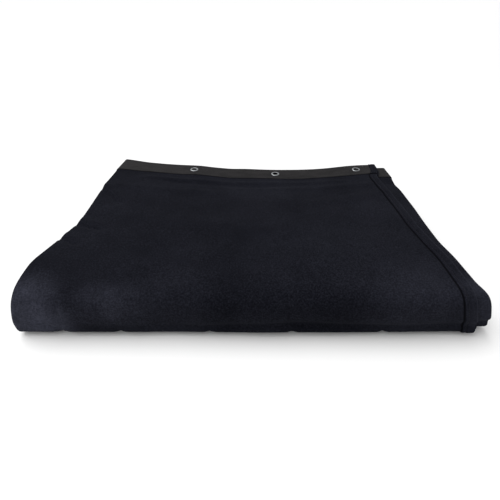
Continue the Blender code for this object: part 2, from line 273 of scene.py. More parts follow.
class Path:
    """The middle of the cloth across the four plies, with the way to its face at every point."""

    def __init__(self):
        self.rows = []
        self.run = 0.0

    def add(self, left, hem, right, offset, share, normal_x, normal_share, run):
        self.rows.append((left, hem, right, offset, share, normal_x, normal_share, run))

    def straight(self, start, end, share, face, width, count, skip=0):
        """From one edge to another, each given as (edge index, offset)."""
        for i in range(skip, count):
            f = i / (count - 1)
            weights = [0.0, 0.0, 0.0]
            weights[start[0]] += 1 - f
            weights[end[0]] += f
            offset = start[1] * (1 - f) + end[1] * f
            self.add(*weights, offset, share, 0.0, face, self.run + width * f)
        self.run += width

    def bend(self, edge, centre_x, shares, radius_x, angles, face, width, count):
        """Round from one ply to the next; face is 1 where the cloth's face is outside."""
        middle = (shares[0] + shares[1]) / 2
        radius = abs(shares[1] - shares[0]) / 2
        for i in range(1, count):
            angle = math.radians(angles[0] + (angles[1] - angles[0]) * i / (count - 1))
            weights = [0.0, 0.0, 0.0]
            weights[edge] = 1.0
            x = centre_x + radius_x * math.cos(angle)
            share = middle - radius * math.sin(angle)
            normal = (face * math.cos(angle), -face * math.sin(angle))
            self.add(*weights, x, share, *normal, self.run + width * i / (count - 1))
        self.run += width

    def arrays(self):
        return np.array(self.rows).T


EDGE_LEFT, EDGE_HEM, EDGE_RIGHT = 0, 1, 2
PLY_SHARE = {"P1": 0.115, "Q1": 0.365, "Q2": 0.620, "P2": 0.870}
LEFT_BEND, RIGHT_BEND, INNER_BEND = 0.0062, 0.0042, 0.0030
RUN = {"P1": 0.626, "left": 0.016, "P2": 0.648, "right": 0.010, "Q2": 0.606, "inner": 0.008}
RUN["Q1"] = 0.592
DRAPE_WIDTH = sum(RUN.values())


def drape_path(fine, coarse):
    """Across the drape from the first side hem, through plies P1, P2, Q2 and Q1."""
    path = Path()
    inner = INNER_FOLD_INSET + INNER_BEND
    share = PLY_SHARE
    path.straight((EDGE_HEM, 0.0), (EDGE_LEFT, LEFT_BEND), share["P1"], -1, RUN["P1"], fine)
    path.bend(EDGE_LEFT, LEFT_BEND, (share["P1"], share["P2"]), LEFT_BEND, (90, 270), 1, RUN["left"], 11)
    path.straight((EDGE_LEFT, LEFT_BEND), (EDGE_RIGHT, -RIGHT_BEND), share["P2"], 1, RUN["P2"], coarse, 1)
    plies = (share["Q2"], share["P2"])
    path.bend(EDGE_RIGHT, -RIGHT_BEND, plies, RIGHT_BEND, (-90, 90), 1, RUN["right"], 9)
    path.straight((EDGE_RIGHT, -RIGHT_BEND), (EDGE_LEFT, inner), share["Q2"], -1, RUN["Q2"], coarse, 1)
    path.bend(EDGE_LEFT, inner, (share["Q1"], share["Q2"]), INNER_BEND, (270, 90), -1, RUN["inner"], 9)
    path.straight((EDGE_LEFT, inner), (EDGE_HEM, HEM_B_SHIFT), share["Q1"], 1, RUN["Q1"], coarse, 1)
    return path.arrays()


def section_at(path, runs):
    """Path columns at any lengths across the drape, carried straight on past its two edges."""
    runs = np.asarray(runs, float)
    known = path[7]
    rows = []
    for values in path[:7]:
        inside = np.interp(runs, known, values)
        first = values[0] + (runs - known[0]) * (values[1] - values[0]) / (known[1] - known[0])
        last = values[-1] + (runs - known[-1]) * (values[-1] - values[-2]) / (known[-1] - known[-2])
        rows.append(np.where(runs < known[0], first, np.where(runs > known[-1], last, inside)))
    return np.array(rows + [runs])


# --- how the pack has settled ---


def ridge(x, y, start, end, width):
    """1 along a line between two points in plan, falling off softly to its sides and ends."""
    ax, ay = start
    dx, dy = end[0] - ax, end[1] - ay
    length = math.hypot(dx, dy)
    t = ((x - ax) * dx + (y - ay) * dy) / (length * length)
    side = ((x - ax) * dy - (y - ay) * dx) / length
    past = np.maximum(0.0, np.maximum(-t, t - 1)) * length
    return np.exp(-((side / width) ** 2) - (past / (2.2 * width)) ** 2)


def bell(value, centre, width):
    """1 at a centre, falling off softly to both sides."""
    return np.exp(-(((value - centre) / width) ** 2))


def waves_of(table, x, y=0.0):
    """Sum of sine waves, each given as (height, rate along x, rate along y, phase)."""
    total = 0.0
    for height, along_x, along_y, phase in table:
        total = total + height * np.sin(along_x * x + along_y * y + phase)
    return total


# Ranges over which each effect of settling comes in, as (none, full)
LIFT_RANGE, BOW_RANGE = (-0.10, HEADER_Y), (0.08, BACK_Y)
LEFT_END, LEFT_CORNER, RIGHT_END = (0.03, -0.335), (-0.25, -0.33), (0.10, 0.33)
DROOP_START, DROOP_BACK, DROOP_FRONT = (0.001, 0.013), (0.20, 0.16), (-0.238, -0.185)
BACK_WAVE_RANGE = (-0.2, 0.2)
FRONT_RANGE = (CREST_Y + 0.01, LOW.y)
NIP_RANGE, NOTCH_RANGE = (-0.22, 0.02), (0.030, 0.004)
SPREAD_LEVEL, SPREAD_FRONT = (0.080, 0.010), (-0.140, -0.225)
SPREAD_LEFT_RANGE, SPREAD_RIGHT_RANGE = (-0.20, -0.34), (0.22, 0.32)
SLUMP_SIDE, SLUMP_FRONT = (-0.24, -0.35), (0.0, -0.10)

# How far each effect moves the cloth, in metres
LIFT_LEFT, LIFT_RIGHT, LIFT_STEP, LIFT_MIDDLE = 0.0150, 0.0085, 0.0030, 0.0012
BOW_LEFT, BOW_RIGHT, BOW_STEP = 0.0180, 0.0115, 0.004
DROOP = 0.0085
FOOT_OUT = 0.0030
NIP_DEPTH = 0.0066
CORNER_CREASE, CORNER_SWELL, TUCK_DEPTH = 0.0036, 0.0022, 0.0042
SPREAD_LEFT, SPREAD_RIGHT = 0.0140, 0.0185
SIDE_SLUMP = 0.0030

# Waves as (height, rate along x, rate along y, phase)
TOP_WAVES = ((0.0006, 21, 9, 0.0), (0.0005, -13, 26, 1.3))
BACK_WAVES = ((0.0004, 47, 33, 0.6),)
FRONT_WAVES = ((0.0016, 11, 0, 0.8), (0.0009, 29, 0, 2.1), (0.0005, 61, 0, 0.0))
NIP_HEIGHT, NIP_WIDTH = 0.0225, 0.0086
NIP_WAVES = ((0.0028, 9, 0, 1.0), (0.0014, 23, 0, 0.0))

CREASE_DEPTH = 1.35
CREASES = (
    # start, end, half width, height
    ((-0.316, 0.096), (-0.272, 0.046), 0.0050, -0.0030),
    ((-0.312, 0.112), (-0.276, 0.068), 0.0074, 0.0018),
    ((-0.318, -0.040), (-0.278, -0.055), 0.0046, -0.0028),
    ((-0.314, -0.024), (-0.285, -0.036), 0.0070, 0.0016),
    ((-0.330, -0.088), (-0.303, -0.103), 0.0044, -0.0024),
    ((-0.326, -0.073), (-0.310, -0.084), 0.0060, 0.0012),
    ((-0.235, 0.168), (-0.060, 0.160), 0.0075, 0.0016),
    ((-0.180, 0.150), (0.060, 0.141), 0.0090, -0.0014),
    ((-0.020, 0.160), (0.210, 0.163), 0.0080, 0.0014),
    ((0.060, 0.128), (0.260, 0.140), 0.0110, 0.0013),
    ((-0.290, 0.120), (-0.080, 0.104), 0.0140, 0.0014),
    ((0.150, 0.060), (0.290, 0.095), 0.0160, 0.0012),
    ((-0.200, -0.010), (0.050, -0.060), 0.0300, 0.0014),
    ((0.020, -0.090), (0.250, -0.040), 0.0300, -0.0012),
)
# Dips along the foot: place along the front, half width, depth
FOOT_NOTCHES = ((-0.198, 0.0050, 0.0035), (-0.062, 0.0045, 0.0028))
FOOT_NOTCHES += ((0.064, 0.0050, 0.0030), (0.203, 0.0045, 0.0032))


def lift_header(x, y, z, near_top):
    """The bulk of the folds lifts the left end of the header, and the hems its right end."""
    left_end = smooth(*LEFT_END, x) + 0.25 * smooth(*LEFT_CORNER, x)
    right_end = smooth(*RIGHT_END, x)
    step = 0.35 * bell(x, -0.125, 0.030) - 0.25 * bell(x, -0.045, 0.025)
    lift = LIFT_LEFT * left_end + LIFT_RIGHT * right_end + LIFT_STEP * step - LIFT_MIDDLE
    bow = BOW_LEFT * left_end + BOW_RIGHT * right_end + BOW_STEP * step
    lifted = z + near_top * (smooth(*LIFT_RANGE, y) * lift)
    return y + near_top * (smooth(*BOW_RANGE, y) * bow), lifted


def shape_front(x, y, z, level):
    """The front fold bellies out, most at its foot, and creases where the leaves inside it end."""
    front = smooth(*FRONT_RANGE, y)
    y = y - front * waves_of(FRONT_WAVES, x) * np.sin(math.pi * level)
    y = y - front * FOOT_OUT * bell(z, 0.010, 0.012)
    nip_height = NIP_HEIGHT + waves_of(NIP_WAVES, x)
    nip = bell(z, nip_height, NIP_WIDTH) * (0.30 + 0.70 * smooth(*NIP_RANGE, x))
    y = y + front * NIP_DEPTH * nip
    for centre, width, depth in FOOT_NOTCHES:
        y = y + front * depth * (bell(x, centre, width) * smooth(*NOTCH_RANGE, z))
    crease = bell(x, -0.276, 0.0048) * bell(z, 0.046, 0.020)
    swell = bell(x, -0.292, 0.014) * bell(z, 0.046, 0.022)
    y = y + front * (CORNER_CREASE * crease - CORNER_SWELL * swell)
    return y + front * TUCK_DEPTH * ridge(x, z, (-0.300, 0.034), (-0.272, 0.002), 0.0050)


def spread_sides(x, y, z, level):
    """The lower leaves spread past the upper ones in front, and the left side slumps outwards."""
    spread = smooth(*SPREAD_LEVEL, z) * smooth(*SPREAD_FRONT, y)
    left, right = smooth(*SPREAD_LEFT_RANGE, x), smooth(*SPREAD_RIGHT_RANGE, x)
    x = x - spread * SPREAD_LEFT * left + spread * SPREAD_RIGHT * right
    slump = smooth(*SLUMP_SIDE, x) * SIDE_SLUMP * np.sin(math.pi * level)
    return x - slump * smooth(*SLUMP_FRONT, y)


def settle(x, y, z):
    """Moves points of the ideal fold to where a soft, heavy pack lets them lie."""
    level = np.clip(z / CREST_HEIGHT, 0, 1)
    near_top = np.clip(z / top_height(np.minimum(y, BACK_Y)), 0, 1.05)
    y, z = lift_header(x, y, z, near_top)
    # the folds that stick out past the side hem droop away from it
    past_hem = smooth(*DROOP_START, x - along(HEM_EDGE, y)) * smooth(*DROOP_BACK, y)
    z = z - DROOP * past_hem * near_top * smooth(*DROOP_FRONT, y)
    # creases and soft waves of the top
    waves = waves_of(TOP_WAVES, x, y) + waves_of(BACK_WAVES, x, y) * smooth(*BACK_WAVE_RANGE, y)
    for start, end, width, height in CREASES:
        waves = waves + CREASE_DEPTH * height * ridge(x, y, start, end, width)
    z = z + near_top**3 * waves
    y = shape_front(x, y, z, level)
    return spread_sides(x, y, z, level), y, z


def leaf_shift(length, edge):
    """How far a folded edge strays from the outline deeper in the pack, by length along the cloth."""
    deep = smooth(0.80, 1.10, length)
    phase = (0.4, 2.2, 4.1)[edge]
    stray = 0.0030 * math.sin(7.9 * length + phase) + 0.0022 * math.sin(17.3 * length + 2 * phase)
    inwards = 0.0035 if edge == EDGE_LEFT else -0.0035
    return float(deep) * (inwards + stray)


def lay(path, stations, rise):
    """Grid of points (station, path, xyz) at a rise above the middle of the cloth, towards its face."""
    left, hem, right, offset, share, normal_x, normal_share, _ = path
    rise = np.broadcast_to(np.asarray(rise, float), (len(stations), path.shape[1]))
    rows = []
    for station, up in zip(stations, rise):
        y, z = station.at(share + normal_share * up / station.thickness)
        shifts = [leaf_shift(station.length, edge) for edge in range(3)]
        x = left * (along(LEFT_FOLD, y) + shifts[0])
        x = x + hem * (along(HEM_EDGE, y) + shifts[1])
        x = x + right * (along(RIGHT_FOLD, y) + shifts[2])
        x = x + offset + normal_x * up
        rows.append(np.stack(settle(x, y, np.maximum(z, 0.0)), axis=1))
    return np.array(rows)


# --- meshes ---


def placed(name, data):
    """A new object in the scene, at the origin."""
    obj = bpy.data.objects.new(name, data)
    bpy.context.scene.collection.objects.link(obj)
    return obj


def finish_mesh(name, points, faces, uvs, material):
    """Closed smooth mesh at the origin, with faces outwards and a UV map in metres."""
    mesh = bpy.data.meshes.new(name)
    mesh.from_pydata([tuple(p) for p in points], [], faces)
    layer = mesh.uv_layers.new(name="UVMap")
    loop_vertex = np.empty(len(mesh.loops), np.int32)
    mesh.loops.foreach_get("vertex_index", loop_vertex)
    layer.data.foreach_set("uv", np.asarray(uvs, np.float32)[loop_vertex].ravel())
    shape = bmesh.new()
    shape.from_mesh(mesh)
    bmesh.ops.recalc_face_normals(shape, faces=shape.faces)
    shape.to_mesh(mesh)
    shape.free()
    mesh.shade_smooth()
    mesh.set_sharp_from_angle(angle=SHARP_ANGLE)
    mesh.materials.append(material)
    return placed(name, mesh)


def sheet_between(name, face, back, lengths, runs, material):
    """Closed sheet between two matching grids of points."""
    rows, columns = face.shape[:2]
    points = np.concatenate([face.reshape(-1, 3), back.reshape(-1, 3)])
    grid = np.arange(rows * columns).reshape(rows, columns)
    under = grid + rows * columns
    faces = []
    for i in range(rows - 1):
        for j in range(columns - 1):
            a, b, c, d = grid[i, j], grid[i, j + 1], grid[i + 1, j + 1], grid[i + 1, j]
            faces.append((a, b, c, d))
            a, b, c, d = under[i, j], under[i + 1, j], under[i + 1, j + 1], under[i, j + 1]
            faces.append((a, b, c, d))
    for i in range(rows - 1):
        faces.append((grid[i, 0], grid[i + 1, 0], under[i + 1, 0], under[i, 0]))
        faces.append((grid[i, -1], under[i, -1], under[i + 1, -1], grid[i + 1, -1]))
    for j in range(columns - 1):
        faces.append((grid[0, j], under[0, j], under[0, j + 1], grid[0, j + 1]))
        faces.append((grid[-1, j], grid[-1, j + 1], under[-1, j + 1], under[-1, j]))
    uv = np.stack(np.meshgrid(runs, lengths), axis=2).reshape(-1, 2)
    faces = [tuple(int(k) for k in f) for f in faces]
    return finish_mesh(name, points, faces, np.concatenate([uv, uv]), material)


def tube_between(name, rings, lengths, rounds, material):
    """Closed solid through matching closed rings."""
    rows, columns = rings.shape[:2]
    grid = np.arange(rows * columns).reshape(rows, columns)
    faces = [
        (int(grid[i, j]), int(grid[i, k]), int(grid[i + 1, k]), int(grid[i + 1, j]))
        for i in range(rows - 1)
        for j, k in zip(range(columns), list(range(1, columns)) + [0])
    ]
    faces.append(tuple(int(k) for k in grid[0]))
    faces.append(tuple(int(k) for k in grid[-1][::-1]))
    uv = np.stack(np.meshgrid(rounds, lengths), axis=2).reshape(-1, 2)
    return finish_mesh(name, rings.reshape(-1, 3), faces, uv, material)


# --- materials ---


def add_node(tree, kind, inputs=None, **settings):
    """A node with its settings, and each input linked to a socket or set to a value."""
    node = tree.nodes.new(kind)
    for key, value in settings.items():
        setattr(node, key, value)
    for key, value in (inputs or {}).items():
        if isinstance(value, bpy.types.NodeSocket):
            tree.links.new(value, node.inputs[key])
        else:
            node.inputs[key].default_value = value
    return node


class Nodes:
    """Short way to build a material's node tree."""

    def __init__(self, name):
        self.material = bpy.data.materials.new(name)
        self.material.use_nodes = True
        self.tree = self.material.node_tree
        self.shader = self.tree.nodes["Principled BSDF"]

    def add(self, kind, inputs=None, **settings):
        return add_node(self.tree, kind, inputs, **settings)

    def stretched(self, source, scale):
        return self.add("ShaderNodeMapping", {"Vector": source, "Scale": scale}).outputs[0]

    def noise(self, vector, scale, detail=2.0, roughness=0.5):
        inputs = {"Vector": vector, "Scale": scale, "Detail": detail, "Roughness": roughness}
        return self.add("ShaderNodeTexNoise", inputs).outputs["Fac"]

    def ramp(self, value, stops):
        node = self.add("ShaderNodeValToRGB", {"Fac": value})
        ramp = node.color_ramp
        ramp.elements[0].position, ramp.elements[0].color = stops[0][0], (*stops[0][1], 1)
        ramp.elements[1].position, ramp.elements[1].color = stops[-1][0], (*stops[-1][1], 1)
        for position, colour in stops[1:-1]:
            ramp.elements.new(position).color = (*colour, 1)
        return node.outputs[0]

    def grey(self, value, low, high):
        inputs = {"Value": value, "To Min": low, "To Max": high}
        return self.add("ShaderNodeMapRange", inputs).outputs[0]

    def maths(self, operation, a, b=0.0):
        return self.add("ShaderNodeMath", {0: a, 1: b}, operation=operation).outputs[0]

    def mix(self, factor, a, b):
        """Between two colours, each a socket or three values."""
        a, b = [c if isinstance(c, bpy.types.NodeSocket) else (*c, 1) for c in (a, b)]
        return self.add("ShaderNodeMix", {0: factor, 6: a, 7: b}, data_type="RGBA").outputs[2]

    def near(self, place, spot, reach, high, low):
        """A value that goes from high at a spot to low at its reach."""
        away = self.add("ShaderNodeVectorMath", {0: place, 1: spot}, operation="DISTANCE").outputs["Value"]
        inputs = {"Value": away, "From Max": reach, "To Min": high, "To Max": low}
        return self.add("ShaderNodeMapRange", inputs).outputs[0]

    def bump(self, height, strength, distance):
        inputs = {"Height": height, "Strength": strength, "Distance": distance}
        return self.add("ShaderNodeBump", inputs).outputs[0]

    def link(self, socket, value):
        self.tree.links.new(value, self.shader.inputs[socket])

    def set(self, **values):
        for name, value in values.items():
            self.shader.inputs[name.replace("_", " ")].default_value = value

    def uv(self):
        return self.add("ShaderNodeUVMap", uv_map="UVMap").outputs[0]

    def place(self):
        return self.add("ShaderNodeTexCoord").outputs["Object"]


PAINTED_HIGHLIGHTS = (
    # middle of a patch of painted highlight, where the light falls on the front of the nap, its reach, its
    # strength
    ((-0.330, -0.235, 0.045), 0.080, 1.45),
    ((-0.290, -0.243, 0.030), 0.060, 0.70),
    ((-0.225, -0.236, 0.060), 0.050, 0.48),
    ((-0.185, -0.236, 0.058), 0.050, 0.44),
    ((-0.110, -0.238, 0.045), 0.090, 0.28),
    ((0.250, -0.236, 0.055), 0.110, 0.34),
    ((0.350, -0.215, 0.050), 0.060, 0.75),
    ((0.270, -0.190, 0.080), 0.090, 0.10),
)


COTTON_DARK = (0.0022, 0.0024, 0.0040)
COTTON_PALE, HEM_PALE = (0.0375, 0.0392, 0.0545), (0.0345, 0.0360, 0.0500)
# Painted shade: colour of the dark line in the crease beside each side hem
SEAM_SHADE_COLOUR = (0.0012, 0.0012, 0.0016)
THREAD_DARK, THREAD_PALE = (0.0030, 0.0030, 0.0042), (0.0100, 0.0100, 0.0135)
TAPE_DARK, TAPE_PALE = (0.0062, 0.0053, 0.0062), (0.0182, 0.0163, 0.0178)
# Painted shade: colour drawn into the grooves between the webbing's ribs
TAPE_GROOVE_SHADE = (0.0020, 0.0018, 0.0020)
PLATE_DARK, PLATE_PALE = (0.16, 0.168, 0.176), (0.34, 0.35, 0.36)
# Painted shade: the washers, which lie under the cloth and show through the holes, are drawn far darker
# than the eyelet plate
WASHER_DARK, WASHER_PALE = (0.020, 0.021, 0.022), (0.060, 0.062, 0.065)
BARREL_SHADE = (0.006, 0.006, 0.007)
RIB_PITCH, PICK_PITCH = 0.0030, 0.0016


def brushed_cotton(name, dark, pale, paint_seam_shade=True):
    """Napped cotton: a raised fibre surface, lighter and darker in soft random patches, with painted
    highlights where the light falls on the front, and a painted shade line beside the side hems; the hem
    cloth gets a painted highlight along its rounded edge instead.
    """
    made = Nodes(name)
    uv, place = made.uv(), made.place()
    patches = made.noise(place, 7.0, 4.0, 0.6)
    highlight_mottle = made.noise(made.stretched(place, (34.0, 34.0, 60.0)), 1.0, 4.0, 0.65)
    grain = made.noise(place, 420.0, 3.0, 0.7)
    brushed = made.noise(made.stretched(uv, (260.0, 60.0, 1.0)), 1.0, 4.0, 0.6)
    fibres = made.noise(made.stretched(uv, (900.0, 420.0, 1.0)), 1.0, 3.0, 0.65)
    nap = made.grey(made.ramp(patches, ((0.38, (0, 0, 0)), (0.72, (1, 1, 1)))), 0.0, 0.11)
    # Painted highlights: lighter mottled patches on the front of the pack, where the light falls
    for spot, reach, strength in PAINTED_HIGHLIGHTS:
        away = made.add("ShaderNodeVectorMath", {0: place, 1: spot}, operation="DISTANCE").outputs["Value"]
        near = made.add("ShaderNodeMapRange", {"Value": away, "From Min": reach, "From Max": 0.2 * reach})
        near.interpolation_type = "SMOOTHSTEP"
        painted_highlight = made.maths("MULTIPLY", near.outputs[0], made.grey(highlight_mottle, 0.1 * strength, 0.75 * strength))
        nap = made.maths("ADD", nap, painted_highlight)
    mixed = made.maths("MULTIPLY", nap, made.grey(brushed, 0.35, 1.25))
    flecks = made.maths("ADD", mixed, made.grey(fibres, -0.12, 0.15))
    speckle = made.ramp(grain, ((0.36, (0, 0, 0)), (0.66, (1, 1, 1))))
    flecks = made.maths("ADD", flecks, made.grey(speckle, -0.06, 0.11))
    flecks = made.maths("MULTIPLY", flecks, made.grey(speckle, 0.82, 1.22))
    nap_colour = made.mix(flecks, dark, pale)
    # Painted shade: the cloth is drawn darker along a thin line in the crease beside each side hem
    run = made.add("ShaderNodeSeparateXYZ", {"Vector": uv}).outputs[0]
    far = made.maths("SUBTRACT", DRAPE_WIDTH, run)
    to_seam = made.maths("SUBTRACT", made.maths("MINIMUM", run, far), HEM_WIDTH + SEAM_SHADE_OFFSET)
    away = made.maths("ABSOLUTE", to_seam)
    painted_seam_shade = made.add("ShaderNodeMapRange", {"Value": away, "From Max": SEAM_SHADE_WIDTH})
    if paint_seam_shade:
        nap_colour = made.mix(painted_seam_shade.outputs[0], SEAM_SHADE_COLOUR, nap_colour)
    else:
        # Painted highlight: the hem's rounded outer edge is drawn paler, where the light catches it
        edge = made.maths("ABSOLUTE", made.maths("SUBTRACT", run, HEM_EDGE_RUN))
        inputs = {"Value": edge, "From Max": 0.0026, "To Min": 0.42, "To Max": 0.0}
        paling = made.add("ShaderNodeMapRange", inputs)
        mottled_paling = made.maths("MULTIPLY", paling.outputs[0], made.grey(brushed, 0.3, 1.3))
        nap_colour = made.mix(mottled_paling, nap_colour, pale)
    made.link("Base Color", nap_colour)
    surface = made.maths("ADD", made.maths("MULTIPLY", fibres, 0.6), made.maths("MULTIPLY", brushed, 0.8))
    made.link("Normal", made.bump(surface, 0.55, 0.0009))
    made.link("Roughness", made.grey(fibres, 0.86, 1.0))
    made.set(Sheen_Weight=0.012, Sheen_Roughness=0.6, Specular_IOR_Level=0.025)
    made.set(Sheen_Tint=(0.62, 0.66, 0.85, 1.0))
    return made.material


TAPE_END = (-0.325, 0.240, 0.075)
TAPE_END_REACH = 0.20


def ribbed_webbing():
    """Narrow warp ribs along the tape, crossed by the weft, with painted shade in the grooves between the
    ribs, paler in random patches and towards its left end.
    """
    made = Nodes("ribbed_webbing")
    uv, place = made.uv(), made.place()
    parts = made.add("ShaderNodeSeparateXYZ", {"Vector": uv})
    across, length = parts.outputs[1], parts.outputs[0]
    rib = made.maths("SINE", made.maths("MULTIPLY", across, 2 * math.pi / RIB_PITCH))
    pick = made.maths("SINE", made.maths("MULTIPLY", length, 2 * math.pi / PICK_PITCH))
    weave = made.maths("MULTIPLY", made.grey(rib, 0.0, 1.0), made.grey(pick, 0.7, 1.0))
    mottled_paling = made.noise(made.stretched(place, (34.0, 90.0, 90.0)), 1.0, 4.0, 0.6)
    mottled_paling = made.ramp(mottled_paling, ((0.36, (0, 0, 0)), (0.66, (1, 1, 1))))
    fuzz = made.noise(made.stretched(uv, (1500.0, 900.0, 1.0)), 1.0, 3.0, 0.6)
    # The tape is drawn paler towards its left end
    left_end_paling = made.near(place, TAPE_END, TAPE_END_REACH, 0.55, 0.0)
    paler_share = made.maths("ADD", made.grey(mottled_paling, 0.0, 1.0), left_end_paling)
    paling = made.mix(paler_share, TAPE_DARK, TAPE_PALE)
    # Painted shade: the grooves between the ribs are drawn darker
    made.link("Base Color", made.mix(made.grey(weave, 0.35, 1.0), TAPE_GROOVE_SHADE, paling))
    height = made.maths("ADD", weave, made.maths("MULTIPLY", fuzz, 0.35))
    made.link("Normal", made.bump(height, 0.7, 0.0004))
    made.link("Roughness", made.grey(fuzz, 0.58, 0.85))
    made.set(Sheen_Weight=0.02, Sheen_Roughness=0.4, Specular_IOR_Level=0.10)
    return made.material


def polyester_thread():
    made = Nodes("polyester_thread")
    twist = made.noise(made.place(), 1800.0, 2.0)
    made.link("Base Color", made.mix(twist, THREAD_DARK, THREAD_PALE))
    made.link("Normal", made.bump(twist, 0.5, 0.0002))
    made.link("Roughness", made.grey(twist, 0.45, 0.65))
    made.set(Specular_IOR_Level=0.12)
    return made.material


def nickel_plate(name, low, high):
    """Rolled steel with dull plating, brushed round by the press and darker where handled."""
    made = Nodes(name)
    place = made.place()
    clouds = made.noise(place, 160.0, 4.0, 0.6)
    scratches = made.noise(made.stretched(place, (2600.0, 500.0, 900.0)), 1.0, 3.0, 0.7)
    plate = made.mix(clouds, low, high)
    inside = made.add("ShaderNodeAttribute", attribute_name="inside").outputs["Fac"]
    made.link("Base Color", made.mix(inside, plate, BARREL_SHADE))
    made.link("Roughness", made.grey(clouds, 0.30, 0.52))
    made.link("Normal", made.bump(scratches, 0.15, 0.0001))
    made.set(Metallic=1.0)
    return made.material


# --- cloth ---


EDGE_INSET = 0.0006
HEADER_ROWS, REAR_ROWS, FRONT_ROWS, CREST_ROWS, LOWEST_ROWS, LEAF_ROWS = 12, 42, 54, 32, 26, 14


def pack_runs():
    """Stations of the outer cloth, in three stretches from the header to the first back fold."""
    rear = joined(
        upper_leaf(1, BACK_Y - EDGE_INSET, HEADER_Y, HEADER_ROWS, True, 0.0),
        upper_leaf(1, HEADER_Y, MID_LEAF_Y, REAR_ROWS, True, 0.0),
    )
    length = rear[-1].length
    front = joined(
        upper_leaf(1, MID_LEAF_Y, CREST_Y, FRONT_ROWS, True, length),
        front_bend(1, CREST_ROWS, True),
    )
    wrap = joined(
        lower_leaf(1, CREST_Y, BACK_FOLD_Y, LOWEST_ROWS, True, front[-1].length),
        back_bend(2, 2, 11, True),
    )
    return rear, front, wrap


def inner_stations(start_length):
    """From the fourth leaf up, round the front and back folds, to the bottom hem of the second."""
    return joined(
        lower_leaf(4, BACK_FOLD_Y, CREST_Y, LEAF_ROWS, False, start_length),
        front_bend(4, 9, False, downwards=False),
        upper_leaf(4, CREST_Y, BACK_FOLD_Y, LEAF_ROWS, False, 0.0),
        back_bend(5, 1, 9, True),
        upper_leaf(3, BACK_FOLD_Y, CREST_Y, LEAF_ROWS, True, 0.0),
        front_bend(3, 13, True),
        lower_leaf(3, CREST_Y, BACK_FOLD_Y, LEAF_ROWS, True, 0.0),
        back_bend(2, 1, 9, False, upwards=False),
        lower_leaf(2, BACK_FOLD_Y, CREST_Y, LEAF_ROWS, False, 0.0),
        front_bend(2, 17, False, downwards=False),
        upper_leaf(2, CREST_Y, BOTTOM_HEM_Y + CLOTH_IN_BOTTOM_HEM, 20, False, 0.0),
    )


SEAM_COLUMNS = (-0.0015, -0.0004, 0.0004, 0.0012, 0.0020, 0.0032, 0.0048)
COLUMN_GAP = 0.001


def with_seams(path):
    """The path with more columns beside both side hems, where the cloth is drawn down."""
    beside = HEM_WIDTH + np.array(SEAM_COLUMNS)
    near, far = beside[0] - COLUMN_GAP, beside[-1] + COLUMN_GAP
    kept = path[7][(path[7] < near) | (path[7] > far)]
    near, far = DRAPE_WIDTH - beside[-1] - COLUMN_GAP, DRAPE_WIDTH - beside[0] + COLUMN_GAP
    kept = kept[(kept < near) | (kept > far)]
    return section_at(path, np.sort(np.concatenate([kept, beside, DRAPE_WIDTH - beside])))


def lay_cloth(name, path, stations, material):
    """A stretch of the cloth as a closed sheet, drawn down along its side seams."""
    half = CLOTH / 2
    path = with_seams(path)
    run = np.minimum(path[7], DRAPE_WIDTH - path[7])
    valley = SEAM_VALLEY * bell(run - HEM_WIDTH, -SEAM_VALLEY, SEAM_VALLEY_WIDTH)
    face = lay(path, stations, half + valley)
    back = lay(path, stations, -half + valley)
    lengths = [station.length for station in stations]
    return sheet_between(name, face, back, lengths, path[7], material)


def lay_strip(name, path, stations, runs, low, high, material):
    """A strip lying on the cloth's face (or its back, where the rises are negative)."""
    columns = section_at(path, runs)
    face = lay(columns, stations, high)
    back = lay(columns, stations, low)
    lengths = [station.length for station in stations]
    return sheet_between(name, face, back, lengths, runs, material)


def hem_outline(height, under):
    """Half the outline of a turned hem: lengths in from its edge and rises over the cloth."""
    top = CLOTH / 2 + height
    low = -CLOTH / 2 - under
    middle, half = (top + low) / 2, (top - low) / 2
    outline = []
    for i in range(7):
        angle = math.radians(-90 + 180 * i / 6)
        outline.append((-HEM_OVERHANG - half * math.cos(angle), middle + half * math.sin(angle)))
    for i in range(1, 20):
        inwards = i / 20 * (HEM_WIDTH - HEM_ROUND)
        filled = inwards < STITCH_FROM_EDGE
        puff = HEM_PUFF * math.sin(math.pi * inwards / STITCH_FROM_EDGE) if filled else 0.0
        dip = STITCH_DIP * math.exp(-(((inwards - STITCH_FROM_EDGE) / STITCH_DIP_WIDTH) ** 2))
        outline.append((inwards, top + puff - dip))
    for i in range(5):
        angle = math.radians(90 - 90 * i / 4)
        end = HEM_WIDTH - HEM_ROUND + HEM_ROUND * math.cos(angle)
        outline.append((end, top - HEM_ROUND + HEM_ROUND * math.sin(angle)))
    near, far = CLOTH / 2 + SKIN, -CLOTH / 2 - SKIN
    outline += [(HEM_WIDTH - SKIN, near), (0.0008, near)]
    outline += [(-0.0004, CLOTH / 2 - SKIN), (-0.0004, -CLOTH / 2 + SKIN)]
    outline += [(0.0008, far), (TURNED_UNDER, far), (TURNED_UNDER, low)]
    return np.array(outline).T


def lay_hem(name, path, stations, height, under, material, far_edge=False):
    """The turned hem along a side edge of the drape."""
    inwards, rises = hem_outline(height, under)
    runs = DRAPE_WIDTH - inwards if far_edge else inwards
    rings = lay(section_at(path, runs), stations, rises)
    lengths = [station.length for station in stations]
    spread = np.concatenate([[0.0], np.cumsum(np.hypot(np.diff(inwards), np.diff(rises)))])
    return tube_between(name, rings, lengths, spread, material)


# --- repeated parts ---


def repeat_group(name, build):
    """A geometry node group with geometry in and out; build adds the rest."""
    group = bpy.data.node_groups.new(name, "GeometryNodeTree")
    group.interface.new_socket("Geometry", in_out="INPUT", socket_type="NodeSocketGeometry")
    group.interface.new_socket("Geometry", in_out="OUTPUT", socket_type="NodeSocketGeometry")
    build(group)
    return group


def named_input(group, name, kind, value=None):
    socket = group.interface.new_socket(name, in_out="INPUT", socket_type=kind)
    if value is not None:
        socket.default_value = value
    return socket


